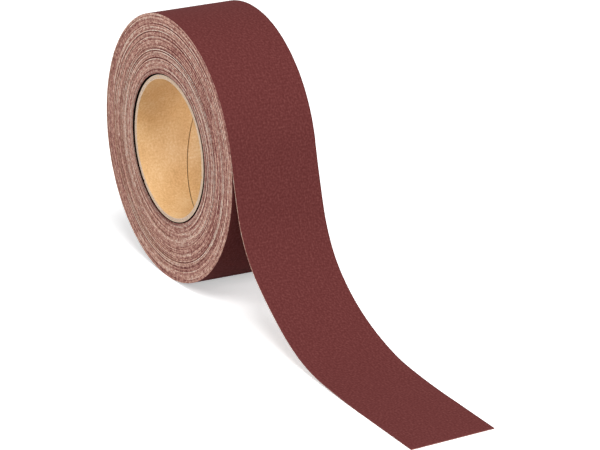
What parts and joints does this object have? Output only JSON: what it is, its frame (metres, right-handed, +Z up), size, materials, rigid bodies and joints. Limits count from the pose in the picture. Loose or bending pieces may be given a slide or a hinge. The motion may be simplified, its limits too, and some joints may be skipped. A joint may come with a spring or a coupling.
{
  "type": "abrasive cloth roll",
  "caption": "Roll of maroon abrasive cloth wound grain outwards on a loose spiral paper core, with its free end pulled off and laid flat on the surface beside it.",
  "frame": {"origin": "centre of the core's bore, on its axis at mid-width", "axes": "+Y along the core's axis, +Z up from the surface the roll stands on, +X towards the free end"},
  "size_m": [0.332, 0.05, 0.1454],
  "materials": {
    "kraft_board": "matt brown kraft paperboard, fibrous",
    "wound_cloth": "cut edges of the wound cloth, speckled with pale yarn ends",
    "cloth_backing": "resin-filled woven cotton, matt",
    "abrasive_grain": "fine maroon aluminium oxide grain in resin, matt"
  },
  "bodies": {
    "roll": {"inner_laps": "wound_cloth", "packed_laps": "wound_cloth", "outer_laps": "wound_cloth", "last_lap_backing": "cloth_backing", "last_lap_grain": "abrasive_grain"},
    "core": {"core_liner": "kraft_board", "core_middle_ply": "kraft_board", "core_outer_wrap": "kraft_board"},
    "tail_1": {"tail_backing_1": "cloth_backing", "tail_grain_1": "abrasive_grain"},
    "tail_2": {"tail_backing_2": "cloth_backing", "tail_grain_2": "abrasive_grain"},
    "tail_3": {"tail_backing_3": "cloth_backing", "tail_grain_3": "abrasive_grain"},
    "tail_4": {"tail_backing_4": "cloth_backing", "tail_grain_4": "abrasive_grain"},
    "tail_5": {"tail_backing_5": "cloth_backing", "tail_grain_5": "abrasive_grain"},
    "tail_6": {"tail_backing_6": "cloth_backing", "tail_grain_6": "abrasive_grain"}
  },
  "joints": [
    {"name": "core_turn", "type": "hinge", "parent": "roll", "child": "core", "pos_m": [0, 0, 0], "axis": [0, 1, 0], "continuous": true},
    {"name": "tail_flex_1", "type": "hinge", "parent": "roll", "child": "tail_1", "pos_m": [0.07004, 0, 0.01877], "axis": [0, -1, 0], "range_deg": [0, 30]},
    {"name": "tail_flex_2", "type": "hinge", "parent": "tail_1", "child": "tail_2", "pos_m": [0.07975, 0, -0.013], "axis": [0, -1, 0], "range_deg": [0, 30]},
    {"name": "tail_flex_3", "type": "hinge", "parent": "tail_2", "child": "tail_3", "pos_m": [0.10151, 0, -0.04351], "axis": [0, -1, 0], "range_deg": [0, 30]},
    {"name": "tail_flex_4", "type": "hinge", "parent": "tail_3", "child": "tail_4", "pos_m": [0.13432, 0, -0.06245], "axis": [0, -1, 0], "range_deg": [0, 30]},
    {"name": "tail_flex_5", "type": "hinge", "parent": "tail_4", "child": "tail_5", "pos_m": [0.17119, 0, -0.07096], "axis": [0, -1, 0], "range_deg": [0, 30]},
    {"name": "tail_flex_6", "type": "hinge", "parent": "tail_5", "child": "tail_6", "pos_m": [0.20916, 0, -0.07229], "axis": [0, -1, 0], "range_deg": [0, 30]}
  ]
}
